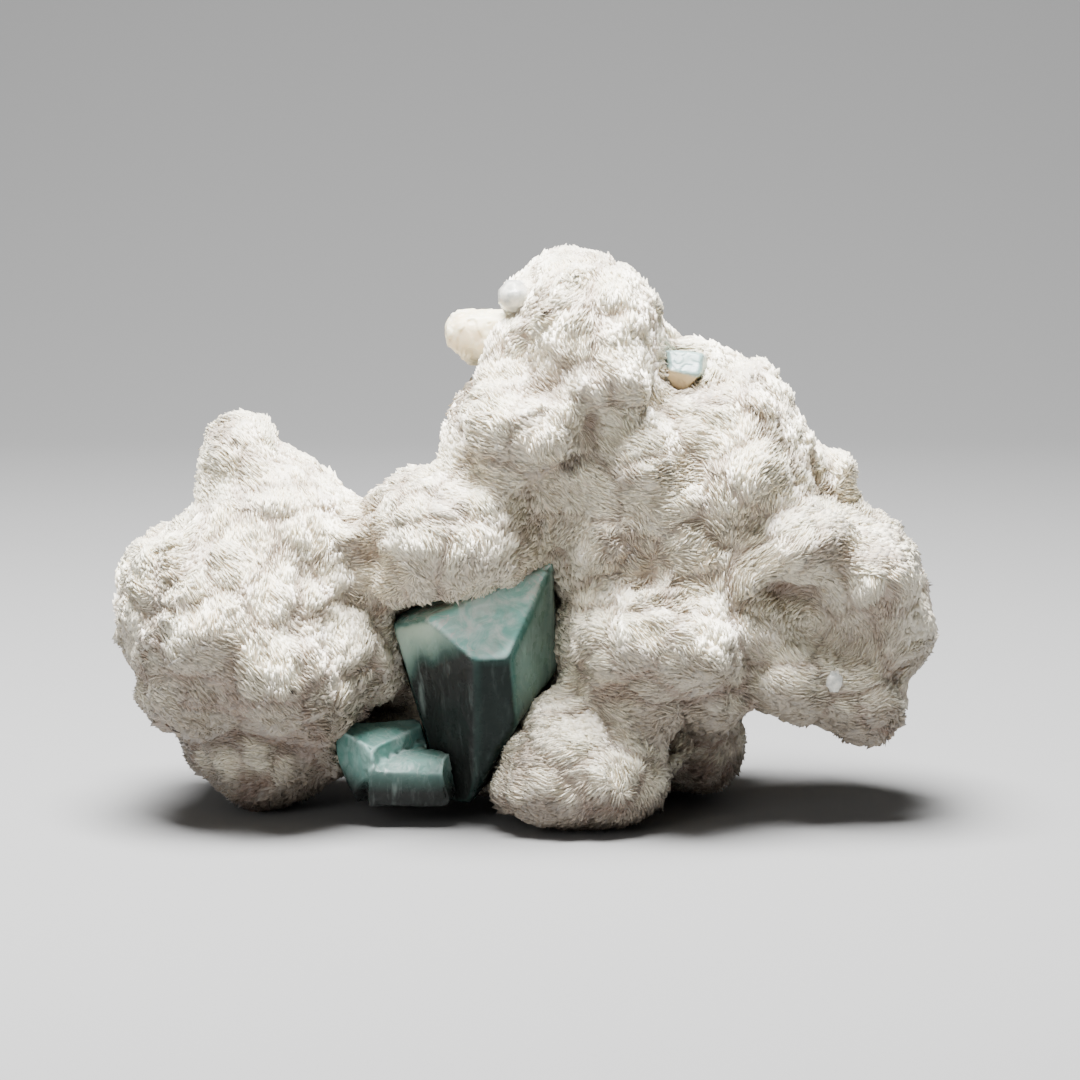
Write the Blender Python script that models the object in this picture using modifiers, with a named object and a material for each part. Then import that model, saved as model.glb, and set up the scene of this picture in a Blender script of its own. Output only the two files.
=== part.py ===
# A mineral specimen: blue-green amazonite crystals grown on a white mass of cleavelandite,
# the bladed kind of albite. The white mass is one solid of rounded lobes, rough with books of
# blades. The crystals are solids of their own, each rooted in a socket in the white mass.
# Lengths below are millimetres. X runs to the right, Y to the back and Z up.
# The specimen stands at Z = 0 on the flats worn on its lowest lobes.

import math

import bmesh
import bpy
import numpy as np
from mathutils import Euler, Matrix, Vector, noise

MM = 0.001
NAME = "amazonite_on_cleavelandite"

# The middle of the specimen in the plan that the lobes and crystals are laid out in
PLAN_CENTRE = Vector((0.4, -4.2, 0.0))
# Clearance between a crystal and the socket that it sits in
SOCKET_GAP = 0.3

# White mass: each lobe is an ellipsoid, given by its name, centre, half-sizes and its tilt
# about Y in degrees
LOBES = (
    ("left_ball", (-55.5, -12, 39.5), (24, 28, 21), 0),
    ("left_shoulder", (-49, -6, 55), (17, 24, 15), 20),
    ("left_peak", (-55.5, -2, 69), (8.5, 16, 9), 0),
    ("left_peak_side", (-45.5, -2, 61.5), (8.5, 17, 8), 30),
    ("left_cheek", (-67.5, -8, 44.5), (12.5, 22, 12), 0),
    ("left_saddle", (-39, -6, 52), (8.5, 20, 11.5), 0),
    ("left_inner", (-33.5, -9, 32.5), (11, 17, 13.5), 0),
    ("left_fan", (-46.5, -22, 30), (14, 20, 13), 0),
    ("left_low", (-63, -12, 27), (13, 22, 12.5), 0),
    ("left_low_inner", (-40.5, -10, 21), (11.5, 20, 9.5), 0),
    ("left_hem", (-38, -5, 13.5), (8.5, 15, 9.5), 0),
    ("left_foot", (-51, -3, 10), (12, 18, 13.7), 0),
    ("left_foot_back", (-58, 4, 12.5), (11, 18, 9.5), 0),
    ("brow", (-14.5, -20, 56.5), (16.5, 22, 14), 8),
    ("brow_left", (-24, -14, 57.5), (8, 18, 9), 0),
    ("brow_low", (-20.5, -19, 48), (9.5, 16, 7), -8),
    ("brow_right", (-4, -16, 52.5), (10, 16, 8.5), 0),
    ("neck", (-1.5, -16, 75.5), (14.5, 22, 12.5), 0),
    ("neck_left", (-8, -6, 77.5), (6, 16, 8.5), 0),
    ("neck_low", (2, -10, 61.5), (9.5, 18, 9.5), 0),
    ("crown", (11.8, -10, 93.5), (15.7, 21, 16.5), 0),
    ("crown_top", (8, -4, 101.5), (9, 15, 9), 0),
    ("crown_left", (1, -8, 93), (7.5, 16, 7.5), 0),
    ("crown_hold", (-3.2, -9.5, 89.5), (6.8, 12, 8), 0),
    ("chip_bed", (32, -3, 85), (9, 13, 8.5), 0),
    ("crown_bump", (-1.2, -8, 100.6), (3.4, 6, 3.2), 0),
    ("crown_fan", (14.5, -16, 86), (11.5, 20, 9), 0),
    ("crown_right", (24, -2, 86), (7, 16, 8), 0),
    ("plateau", (35.5, -4, 70.5), (19, 24, 18), 0),
    ("plateau_top", (42.5, -2, 80.5), (9.5, 18, 8), 0),
    ("plateau_front", (40.5, -12, 67.5), (13, 20, 11.5), 0),
    ("plateau_right", (49, 0, 66.5), (9, 20, 11.5), 0),
    ("valley_fan", (22, -16.5, 69.5), (10, 18, 11.5), 0),
    ("valley_mid", (17.5, -15, 55.5), (10, 18, 10), 0),
    ("valley_low", (14.5, -10, 43.5), (9.5, 18, 10), 0),
    ("valley_bed", (11, -11, 68), (9.5, 18, 12.5), 0),
    ("valley_top", (18, -12, 78), (9.5, 17, 9.5), 0),
    ("valley_floor", (28, -15, 59.5), (12.5, 18, 12), 0),
    ("crystal_bed", (10, -5, 50.5), (8.5, 15, 13), 0),
    ("valley_right", (31.5, -14, 51.5), (10, 18, 8.5), 0),
    ("crystal_bed_low", (9, -7, 33), (7.5, 14, 12), 0),
    ("curl_corner", (42, -16, 50), (7.5, 16, 8), 0),
    ("curl_brow", (53, -18, 54.5), (11, 18, 8), 0),
    ("curl_cheek", (66.5, -14, 48), (10.5, 20, 10), 0),
    ("curl_side", (70.5, -8, 39.5), (9.5, 20, 11.5), 0),
    ("curl_bed", (56, -4, 39), (17.5, 20, 11.5), 0),
    ("curl_join", (44, -11, 38), (9.5, 17, 11), 0),
    ("right_knob", (60.6, 2, 65.6), (3.8, 7, 3.8), 0),
    ("right_knob_low", (59, 2, 60), (6, 10, 6), 0),
    ("right_top", (65.5, 2, 51), (10, 18, 8), 0),
    ("right_edge", (74, 0, 34), (6, 16, 7.5), 0),
    ("paw_inner", (51, -15, 28.5), (10.5, 16, 9.5), 0),
    ("paw_bridge", (58.5, -12, 26.5), (9.5, 17, 9.5), 0),
    ("paw", (65.5, -10, 23.5), (9.5, 18, 10.5), 0),
    ("paw_top", (66.5, -8, 31.5), (8.5, 16, 7), 0),
    ("belly", (27.5, -22, 37), (16.5, 22, 13), 10),
    ("belly_left", (15.5, -20, 35), (8, 17, 10.5), 0),
    ("belly_low", (24, -16, 25), (11.5, 18, 8.5), 0),
    ("belly_right", (35.5, -12, 25.5), (9.5, 18, 10), 0),
    ("front_foot", (10.5, -21, 10.5), (18.5, 19, 13.9), 3),
    ("front_foot_top", (5, -20, 19), (8, 14, 7), 0),
    ("front_foot_end", (1, -24, 8.5), (9, 14, 7), 0),
    ("right_foot", (34, 6, 12), (10, 17, 13.5), 0),
    ("right_foot_back", (28.5, 12, 10.5), (12, 17, 12.5), 0),
    ("heart", (-11, 8, 31.5), (25, 24, 17.5), 0),
    ("heart_low", (-11, 12, 15), (23.5, 20, 13.5), 0),
    ("heart_front", (-9, 1, 12), (17, 16, 12.4), 0),
    ("saddle_bridge", (-30, 0, 48), (9.5, 22, 12), 0),
    ("back_left", (-53.5, 11, 38.5), (21.5, 19, 20), 0),
    ("back_left_top", (-50.5, 8, 54.5), (13.5, 16, 13), 0),
    ("back_left_low", (-45.5, 12, 18.5), (17.5, 17, 14.5), 0),
    ("back_bridge", (-10, 8, 49), (17, 15, 12), 0),
    ("back_neck", (0, 6, 64.5), (14.5, 18, 16.5), 0),
    ("back_crown", (12.5, 7, 88), (14, 15, 15), 0),
    ("back_plateau", (34, 12, 65.5), (19, 17, 17.5), 0),
    ("back_middle", (14.5, 14, 38), (25, 19, 21.5), 0),
    ("back_right", (55, 10, 41.5), (18.5, 18, 16.5), 0),
    ("back_paw", (63, 6, 25.5), (9, 14, 10.5), 0),
    ("back_left_lump", (-63, 20, 44), (11, 9, 12), 0),
    ("back_shoulder_lump", (-39, 22, 32), (10, 9, 10), 0),
    ("back_middle_lump", (2, 25, 48), (12, 10, 12), 0),
    ("back_right_lump", (44, 22, 56), (12, 9, 11), 0),
    ("back_low_lump", (32, 26, 26), (12, 9, 11), 0),
    ("back_crown_lump", (16, 15, 95), (10, 9, 9), 0),
    ("back_low", (14.5, 14, 14.5), (20, 18, 17.9), 0),
)
# The books of blades fill the outermost part of each lobe, except of the smallest lumps, which
# are smooth
LOBE_INSET = 2.1
SMOOTH_LUMP = 4.0
SKIN_VOXEL = 0.8
# The skin bridges creases that are narrower than twice this
CREASE_FILL = 2.2
SKIN_TRIANGLES = 7900

# Books of blades that stand on the lobes: a wedge, thin at its outer edge. A book leans by up
# to BOOK_LEAN degrees, the way that its neighbours lean, and the way changes slowly, by
# BOOK_DRIFT of a turn or so a millimetre. There are none within BOOK_MARGIN of a crystal, nor
# below BOOK_LOWEST, where the lobes are worn.
BOOK_SPACING = 8.5
BOOK_WIDTH = (6.0, 10.0)
BOOK_THICK = (2.6, 3.6)
BOOK_PROUD = (1.2, 2.8)
BOOK_ROOT = 4.0
BOOK_TAPER = (0.75, 0.45)
BOOK_LEAN = 38.0
BOOK_LEAST_LEAN = 0.4
BOOK_DRIFT = 0.035
BOOK_MARGIN = 3.5
BOOK_LOWEST = 3.0
SEED = 7

# Crystals are cut from a block of this size
CRYSTAL_BLOCK = 120.0

# Large crystal: each flat face is the plane through three of its points
LARGE_MIDDLE = (-10, -12, 27)
LARGE_FACES = (
    ("top", (-18, -23.5, 40.5), (3.5, -18.5, 49.5), (-18.5, -9, 41)),
    ("sloping_end", (-18, -23.5, 40.5), (3.5, -18.5, 49.5), (-3, -31, 34)),
    ("prism_left", (-26, -17, 40.5), (-10, -31, 36), (-10, -24, 7)),
    ("prism_front", (-10, -31, 36), (-3, -31, 34), (-10, -24, 7)),
    ("prism_right", (-3, -31, 34), (5.5, -17, 45), (3, -20, 24)),
    ("right_rim", (5.5, -17, 45), (6, -19, 33.5), (6, 0, 30.5)),
    ("left_side", (-26, -17, 40.5), (-19.5, -15, 17), (-20, 5, 13)),
    ("lower_right", (2, -21, 24.5), (-6.5, -21, 10.5), (-0.5, -10, 17.5)),
    ("root", (0, -3, 0), (10, -3, 0), (0, -3, 10)),
    ("foot", (0, 0, 4), (10, 0, 4), (0, 10, 4)),
)

# Small pair: two blocky crystals grown into each other, made the same way
LEFT_MIDDLE = (-28, -12, 9)
LEFT_FACES = (
    ("top", (-35, -20, 18.5), (-31, -25.5, 16.5), (-21.5, -12.5, 18.5)),
    ("bright_left", (-36.5, -20, 16.5), (-31, -25.5, 16.5), (-30, -27, 10.5)),
    ("outer_left", (-36.5, -20, 16), (-36, -20, 13), (-37, -6, 13.5)),
    ("corner_left", (-36.5, -20, 17), (-34.5, -20, 18.8), (-36, -8, 18)),
    ("lower_left", (-35.5, -21, 11.5), (-32.5, -21, 4.5), (-36, -6, 8.5)),
    ("lower_front", (-32, -26.5, 9), (-31, -25, 4), (-26, -25.5, 4)),
    ("lower_corner", (-30, -27, 10.5), (-32, -26.5, 9), (-32.5, -21, 4.5)),
    ("right_front", (-28.5, -26.5, 15), (-20.5, -15, 16), (-25.5, -25.5, 4.5)),
    ("back_slope", (-35, -14, 17.5), (-20.5, -10, 18), (-30, -4, 14)),
    ("root", (0, -4, 0), (10, -4, 0), (0, -4, 10)),
    ("right_side", (-18, 0, 0), (-18, 10, 0), (-18, 0, 10)),
    ("foot", (0, 0, 3.8), (10, 0, 3.8), (0, 10, 3.8)),
)
RIGHT_MIDDLE = (-20, -12, 9)
RIGHT_FACES = (
    ("top", (-26.5, -26, 13), (-15.5, -25, 13.5), (-17, -15, 15)),
    ("bright_front", (-26.5, -26, 13), (-15.5, -25, 13.5), (-16, -27.5, 11)),
    ("lower_front", (-26, -27.5, 11), (-16, -27.5, 11), (-16.5, -26, 5)),
    ("right_front", (-15.5, -25, 13.5), (-13, -17, 13.5), (-13.5, -20.5, 10)),
    ("lower_right", (-12.5, -19, 7), (-14, -20, 5), (-14.5, -5, 2)),
    ("right_side", (-13, -15, 13.5), (-12.5, -15, 6.5), (-12.5, -5, 4.5)),
    ("back_slope", (-21, -13, 14.5), (-13.5, -12, 13), (-17.5, -4, 10)),
    ("root", (0, -5, 0), (10, -5, 0), (0, -5, 10)),
    ("left_side", (-30, 0, 0), (-30, 10, 0), (-30, 0, 10)),
    ("foot", (0, 0, 4.3), (10, 0, 4.3), (0, 10, 4.3)),
)

# Chip high on the right, and cream knob on the crown: a middle, and faces given by the way
# that each one looks and its distance from the middle
CHIP_MIDDLE = (30.5, -12, 86.5)
CHIP_FACES = (
    ("blue_face", (0.0, -0.75, 0.65), 2.6),
    ("top", (0.1, 0.1, 1.0), 3.6),
    ("right_side", (1.0, -0.2, 0.1), 3.7),
    ("left_side", (-1.0, -0.2, 0.1), 3.6),
    ("lower_right", (0.75, -0.3, -0.6), 3.2),
    ("cream_face", (-0.15, -0.85, -0.5), 3.0),
    ("foot", (-0.2, 0.0, -1.0), 4.0),
    ("root", (0.0, 1.0, 0.0), 6.0),
)
KNOB_MIDDLE = (-9.5, -8, 92.6)
KNOB_FACES = (
    ("top", (-0.05, -0.1, 1.0), 4.5),
    ("top_left", (-0.8, -0.2, 0.6), 5.4),
    ("top_front", (-0.15, -0.8, 0.6), 4.5),
    ("end", (-1.0, -0.15, -0.1), 5.3),
    ("end_front", (-0.7, -0.7, 0.0), 5.0),
    ("end_low", (-0.73, -0.1, -0.68), 4.7),
    ("under", (0.1, -0.1, -1.0), 5.2),
    ("front", (-0.1, -1.0, 0.05), 4.2),
    ("front_low", (-0.2, -0.75, -0.7), 4.4),
    ("back", (0.0, 1.0, 0.0), 4.2),
    ("root", (1.0, 0.0, 0.0), 7.5),
)
CRYSTAL_EDGE = 0.35
KNOB_EDGE = 1.0
BEVEL_ANGLE = 15.0
# What is cut away below Z = 0
GROUND_SIZE = (240, 160, 40)


# Collections and finish

def clear_scene():
    for item in list(bpy.data.objects):
        bpy.data.objects.remove(item, do_unlink=True)


def new_collection(name):
    made = bpy.data.collections.new(name)
    bpy.context.scene.collection.children.link(made)
    return made


def finish(name, colour, roughness):
    material = bpy.data.materials.new(name)
    material.use_nodes = True
    shader = material.node_tree.nodes["Principled BSDF"]
    shader.inputs["Base Color"].default_value = (*colour, 1.0)
    shader.inputs["Roughness"].default_value = roughness
    shader.inputs["Metallic"].default_value = 0.0
    material.diffuse_color = (*colour, 1.0)
    return material


def placed(bm, name, collection, material=None):
    """Turn a bmesh in plan millimetres into an object in metres."""
    bmesh.ops.translate(bm, vec=-PLAN_CENTRE, verts=bm.verts)
    bmesh.ops.scale(bm, vec=(MM, MM, MM), verts=bm.verts)
    bmesh.ops.recalc_face_normals(bm, faces=bm.faces)
    mesh = bpy.data.meshes.new(name)
    bm.to_mesh(mesh)
    bm.free()
    made = bpy.data.objects.new(name, mesh)
    collection.objects.link(made)
    if material:
        mesh.materials.append(material)
    return made


def as_cutter(item):
    item.hide_render = True
    item.display_type = "WIRE"
    return item


def cut(body, cutter, operation="DIFFERENCE"):
    modifier = body.modifiers.new(cutter.name, "BOOLEAN")
    modifier.operation = operation
    modifier.solver = "EXACT"
    modifier.object = cutter


# Crystals: a block that is cut back along each flat face

def planes_through(faces, middle):
    """Turn faces given by three points into a point and an outward direction each."""
    planes = []
    for _, *points in faces:
        first, second, third = (Vector(point) for point in points)
        outward = (second - first).cross(third - first).normalized()
        if outward.dot(Vector(middle) - first) > 0:
            outward.negate()
        planes.append((first, outward))
    return planes


def planes_around(faces, middle):
    """Turn faces given by a direction and a distance into a point and a direction each."""
    planes = []
    for _, direction, distance in faces:
        outward = Vector(direction).normalized()
        planes.append((Vector(middle) + outward * distance, outward))
    return planes


def crystal_bmesh(planes, middle, grown=0.0):
    """Cut a block back along every plane, each moved outwards by the distance grown."""
    bm = bmesh.new()
    bmesh.ops.create_cube(bm, size=CRYSTAL_BLOCK, matrix=Matrix.Translation(Vector(middle)))
    for point, outward in planes:
        bmesh.ops.bisect_plane(bm, geom=bm.verts[:] + bm.edges[:] + bm.faces[:],
                               plane_co=point + outward * grown, plane_no=outward,
                               clear_outer=True)
        rim = [edge for edge in bm.edges if edge.is_boundary]
        bmesh.ops.contextual_create(bm, geom=rim)
    bmesh.ops.remove_doubles(bm, verts=bm.verts, dist=0.01)
    return bm


def soften(item, width, segments=2):
    """Round the edges a little, as on a grown crystal."""
    bevel = item.modifiers.new("worn_edges", "BEVEL")
    bevel.width = width * MM
    bevel.segments = segments
    bevel.limit_method = "ANGLE"
    bevel.angle_limit = math.radians(BEVEL_ANGLE)
    return item


# White mass

def is_smooth(radii):
    return min(radii) < SMOOTH_LUMP


def lobe_matrix(centre, radii, tilt):
    turn = Euler((0, math.radians(tilt), 0))
    inset = 0.0 if is_smooth(radii) else LOBE_INSET
    return Matrix.LocRotScale(Vector(centre), turn, Vector(radii) - Vector((inset,) * 3))


def inside_lobe(point, inverse):
    """True where a point lies within nine tenths of the way out to a lobe's skin."""
    return (inverse @ point).length < 0.9


def lobe_area(radii):
    """The area of an ellipsoid, near enough: its three sides' areas, averaged as 1.6th powers."""
    a, b, c = radii
    mean = ((a * b) ** 1.6 + (a * c) ** 1.6 + (b * c) ** 1.6) / 3
    return 4 * math.pi * mean ** (1 / 1.6)


def book_places(crystals):
    """Spread book roots over each lobe along a spiral, and keep those that show."""
    golden = math.pi * (3 - math.sqrt(5))
    inverses = [lobe_matrix(*rest).inverted() for _, *rest in LOBES]
    places = []
    for index, (_, centre, radii, tilt) in enumerate(LOBES):
        if is_smooth(radii):
            continue
        matrix = lobe_matrix(centre, radii, tilt)
        count = max(6, round(lobe_area(radii) / BOOK_SPACING ** 2))
        for step in range(count):
            height = 1 - 2 * (step + 0.5) / count
            ring = math.sqrt(1 - height * height)
            on_ball = Vector((ring * math.cos(step * golden), ring * math.sin(step * golden), height))
            point = matrix @ on_ball
            outward = Vector([on_ball[i] / radii[i] for i in range(3)])
            outward = (Euler((0, math.radians(tilt), 0)).to_matrix() @ outward).normalized()
            if any(inside_lobe(point, other) for k, other in enumerate(inverses) if k != index):
                continue
            if point.z < BOOK_LOWEST or any(near_crystal(point, planes) for planes in crystals):
                continue
            places.append((point, outward))
    return places


def near_crystal(point, planes):
    return all((point - at).dot(outward) < BOOK_MARGIN for at, outward in planes)


def add_book(bm, point, outward, random):
    """Stand one wedge on the surface, leaning the way that its neighbours lean."""
    drift = noise.noise_vector(point * BOOK_DRIFT)
    along = (drift - outward * drift.dot(outward)).normalized()
    lean = math.radians(BOOK_LEAN) * random.uniform(BOOK_LEAST_LEAN, 1.0)
    growth = (outward * math.cos(lean) + along * math.sin(lean)).normalized()
    across = growth.cross(outward).normalized()
    through = across.cross(growth).normalized()
    width = random.uniform(*BOOK_WIDTH)
    thick = random.uniform(*BOOK_THICK)
    proud = random.uniform(*BOOK_PROUD)
    frame = Matrix((across, through, growth)).transposed().to_4x4()
    frame.translation = point
    made = bmesh.ops.create_cube(bm, size=1.0)["verts"]
    for vertex in made:
        top = vertex.co.z > 0
        vertex.co.x *= width * (BOOK_TAPER[0] if top else 1.0)
        vertex.co.y *= thick * (BOOK_TAPER[1] if top else 1.0)
        vertex.co.z = proud if top else -BOOK_ROOT
        vertex.co = frame @ vertex.co


def matrix_bmesh(crystals):
    random = np.random.default_rng(SEED)
    noise.seed_set(SEED)
    bm = bmesh.new()
    for _, centre, radii, tilt in LOBES:
        bmesh.ops.create_icosphere(bm, subdivisions=3, radius=1.0,
                                   matrix=lobe_matrix(centre, radii, tilt))
    for point, outward in book_places(crystals):
        add_book(bm, point, outward, random)
    return bm


def skin_over(body, name):
    skin = body.modifiers.new(name, "REMESH")
    skin.mode = "VOXEL"
    skin.voxel_size = SKIN_VOXEL * MM


def swell(body, name, distance):
    """Move the skin outwards, or inwards for a negative distance."""
    move = body.modifiers.new(name, "DISPLACE")
    move.mid_level = 0.0
    move.strength = distance * MM


def join_lobes(body):
    """Join the lobes and books in one skin, bridge its creases by swelling it and shrinking it
    back, and keep only as many triangles as it needs."""
    skin_over(body, "one_skin")
    swell(body, "swell", CREASE_FILL)
    skin_over(body, "swollen_skin")
    swell(body, "shrink", -CREASE_FILL)
    skin_over(body, "bridged_skin")
    ease = body.modifiers.new("ease", "SMOOTH")
    ease.factor = 0.5
    ease.iterations = 1
    faces = len(body.evaluated_get(bpy.context.evaluated_depsgraph_get()).to_mesh().polygons)
    fewer = body.modifiers.new("fewer_faces", "DECIMATE")
    fewer.ratio = SKIN_TRIANGLES / (2 * faces)


clear_scene()
parts = new_collection(NAME)
cutters = new_collection("cutters")

white = finish("white_albite", (0.86, 0.83, 0.79), 0.55)
teal = finish("amazonite_teal", (0.22, 0.42, 0.38), 0.25)
pale_blue = finish("amazonite_pale", (0.62, 0.76, 0.78), 0.3)
cream = finish("feldspar_cream", (0.86, 0.80, 0.68), 0.4)

large_planes = planes_through(LARGE_FACES, LARGE_MIDDLE)
left_planes = planes_through(LEFT_FACES, LEFT_MIDDLE)
right_planes = planes_through(RIGHT_FACES, RIGHT_MIDDLE)
chip_planes = planes_around(CHIP_FACES, CHIP_MIDDLE)
knob_planes = planes_around(KNOB_FACES, KNOB_MIDDLE)
sockets = (
    ("socket_large", large_planes, LARGE_MIDDLE),
    ("socket_small_left", left_planes, LEFT_MIDDLE),
    ("socket_small_right", right_planes, RIGHT_MIDDLE),
    ("socket_chip", chip_planes, CHIP_MIDDLE),
    ("socket_knob", knob_planes, KNOB_MIDDLE),
)

# The white mass, stood on its flats and hollowed for the crystals' roots
body = placed(matrix_bmesh([planes for _, planes, _ in sockets]), "cleavelandite_matrix", parts, white)
join_lobes(body)
ground = bmesh.new()
bmesh.ops.create_cube(ground, size=1.0, matrix=Matrix.LocRotScale(
    Vector((0, 0, -GROUND_SIZE[2] / 2)), None, Vector(GROUND_SIZE)))
cut(body, as_cutter(placed(ground, "ground", cutters)))
for name, planes, middle in sockets:
    cut(body, as_cutter(placed(crystal_bmesh(planes, middle, SOCKET_GAP), name, cutters)))

# The large crystal
large = placed(crystal_bmesh(large_planes, LARGE_MIDDLE), "amazonite_crystal_large", parts, teal)
soften(large, CRYSTAL_EDGE)

# The small pair, joined where the two crystals run into each other, and grown up against the
# large crystal, whose faces they take the print of
small = placed(crystal_bmesh(left_planes, LEFT_MIDDLE), "amazonite_crystals_small", parts, teal)
grown_in = placed(crystal_bmesh(right_planes, RIGHT_MIDDLE), "small_right", cutters)
cut(small, as_cutter(grown_in), "UNION")
cut(small, bpy.data.objects["socket_large"])
soften(small, CRYSTAL_EDGE)

# The chip and the cream knob
chip = placed(crystal_bmesh(chip_planes, CHIP_MIDDLE), "amazonite_chip_upper", parts, pale_blue)
soften(chip, CRYSTAL_EDGE)
knob = placed(crystal_bmesh(knob_planes, KNOB_MIDDLE), "feldspar_knob_cream", parts, cream)
soften(knob, KNOB_EDGE, 3)
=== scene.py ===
import math

import bpy
import numpy as np
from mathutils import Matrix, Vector


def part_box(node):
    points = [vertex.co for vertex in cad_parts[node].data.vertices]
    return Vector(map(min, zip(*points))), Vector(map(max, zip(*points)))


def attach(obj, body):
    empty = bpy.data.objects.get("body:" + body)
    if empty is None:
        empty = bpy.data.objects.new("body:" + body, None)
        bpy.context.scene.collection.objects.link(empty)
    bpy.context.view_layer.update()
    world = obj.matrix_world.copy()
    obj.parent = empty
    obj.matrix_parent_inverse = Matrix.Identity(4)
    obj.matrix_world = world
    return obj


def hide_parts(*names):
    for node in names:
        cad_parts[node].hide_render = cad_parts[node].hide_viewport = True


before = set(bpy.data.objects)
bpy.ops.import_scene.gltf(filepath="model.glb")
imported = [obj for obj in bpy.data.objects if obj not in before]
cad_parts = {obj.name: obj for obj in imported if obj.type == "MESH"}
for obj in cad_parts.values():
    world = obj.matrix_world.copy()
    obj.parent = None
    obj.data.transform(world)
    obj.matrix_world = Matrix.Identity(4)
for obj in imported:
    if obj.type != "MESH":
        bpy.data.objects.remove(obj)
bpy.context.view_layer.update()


# White mass
# Cleavelandite, a bladed albite that grew as one pearly white mass of rounded lobes. This is
# the ground under its blades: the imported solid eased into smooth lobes, then raised in tufts,
# each one a swelling where a fan of blades has grown out from a single point.

# Lengths and places are in millimetres in all sections but the last, and the meshes in metres
MM = 0.001
# The grid of the skin that is laid over the lobes, and of the last one, once it is dug
GROUND_VOXEL = 1.0
CORE_VOXEL = 0.86
CREASE_FILL = 1.6
# Rounds of smoothing that ease the lobes
GROUND_EASE = 8
# Room is dug for the crystals low on the front: this far out from their faces, and as far
# again towards the front
SOCKET_ROOM = 0.4
CRYSTALS = ("amazonite_crystal_large", "amazonite_crystals_small")
# How far the ground lies above the solid on the whole
GROUND_RISE = 0.25
# Tufts and the smaller fans on them: their size, how far they rise, and how far their borders
# are bent out of line
TUFT_SIZE = 14.0
TUFT_RISE = 1.0
TUFT_BEND = 2.5
FAN_SIZE = 6.0
FAN_RISE = 0.45
FAN_BEND = 1.2
# The share of a tuft, a fan or a book of blades over which it rounds up from its border
ROUND_OVER = 0.5
# Below this height the tufts flatten out towards the flats that the specimen rests on
FLATS_HEIGHT = 3.0
# Rounds of easing that show what is sunk, and the depths where a crevice starts and is full
CREVICE_ROUNDS = 150
CREVICE_DEPTH = (0.35, 3.0)
# The painted shade under the lobes starts where the normal's upward part falls below a starting
# value, and is full a span lower. It grows fainter from one height up, over so many millimetres.
UNDER_SHADE_START = 0.15
UNDER_SHADE_SPAN = 0.5
UNDER_SHADE_FADE_FROM = 15
UNDER_SHADE_FADE_OVER = 45
# A smooth bump on the crown's left shoulder, which carries no blades
BUMP_MIDDLE = np.array([-2.4, -8.0, 100.8])
BUMP_REACH = 6.0
# Rust spots, and a small pit painted dark as its shade, on the front: X, Z, radius, and strength
# from 0 to 1
SPECKS = ((3.4, 98.3, 0.6, 1.0), (-67.0, 19.5, 0.9, 1.0), (-44.0, 29.0, 0.8, 1.0),
          (-40.5, 30.5, 0.5, 1.0), (8.1, 70.3, 2.6, 0.6))
# The curl that the blades of the right lobe follow
CURL_MIDDLE = np.array([54.5, -16.0, 40.0])
CURL_REACH = 19.0
# The blades' drift: the sizes of a slow and a quicker ripple, and the steady part of it
DRIFT_SIZES = (26.0, 9.0)
DRIFT_STEADY = np.array([0.35, 0.0, -0.25])


def lattice(i, j, k, seed):
    """A value from 0 to 1 for each corner of a grid: its whole numbers, each times a large
    prime, are mixed bit by bit and the last 24 bits are kept."""
    mixed = (i * 73856093) ^ (j * 19349663) ^ (k * 83492791) ^ (seed * 2654435761)
    mixed = (mixed ^ (mixed >> 13)) * 1274126177
    mixed = mixed ^ (mixed >> 16)
    return (mixed & 0xFFFFFF) / float(0x1000000)


def ripple(points, size, seed):
    """Smooth noise from -1 to 1: the values at a cell's eight corners are blended along each
    side by 3t^2 - 2t^3. Points and size are in millimetres."""
    at = points / size
    base = np.floor(at).astype(np.int64)
    t = at - base
    t = t * t * (3 - 2 * t)
    total = np.zeros(len(points))
    for a in (0, 1):
        for b in (0, 1):
            for c in (0, 1):
                share = ((t[:, 0] if a else 1 - t[:, 0]) * (t[:, 1] if b else 1 - t[:, 1])
                         * (t[:, 2] if c else 1 - t[:, 2]))
                total += share * lattice(base[:, 0] + a, base[:, 1] + b, base[:, 2] + c, seed)
    return 2 * total - 1


def ripple_vector(points, size, seed):
    """Three independent ripples as a vector at each point."""
    return np.stack([ripple(points, size, seed + 101 * axis) for axis in range(3)], axis=1)


def cells(points, size, seed):
    """The nearest of the centres that are scattered one to a cell: its place, a value from 0
    to 1 of its own, and how near its border the point lies, from 0 on it to about 1 inside,
    as (second distance - first distance) / size."""
    home = np.floor(points / size).astype(np.int64)
    count = len(points)
    near = np.full(count, 1e9)
    second = np.full(count, 1e9)
    place = np.zeros((count, 3))
    own = np.zeros(count)
    for a in (-1, 0, 1):
        for b in (-1, 0, 1):
            for c in (-1, 0, 1):
                i, j, k = home[:, 0] + a, home[:, 1] + b, home[:, 2] + c
                shift = np.stack([lattice(i, j, k, seed + s) for s in (1, 2, 3)], axis=1)
                centre = (np.stack([i, j, k], axis=1) + 0.15 + 0.7 * shift) * size
                gap = np.linalg.norm(points - centre, axis=1)
                closer = gap < near
                second = np.where(closer, near, np.minimum(second, gap))
                near = np.where(closer, gap, near)
                place[closer] = centre[closer]
                own[closer] = lattice(i, j, k, seed + 4)[closer]
    return place, own, (second - near) / size


def unit(vectors):
    """Each row divided by its own length."""
    return vectors / np.maximum(np.linalg.norm(vectors, axis=1, keepdims=True), 1e-9)


def across(vectors, normals):
    """What is left of each vector once its part along the normal is taken away."""
    return unit(vectors - normals * np.sum(vectors * normals, axis=1, keepdims=True))


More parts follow.
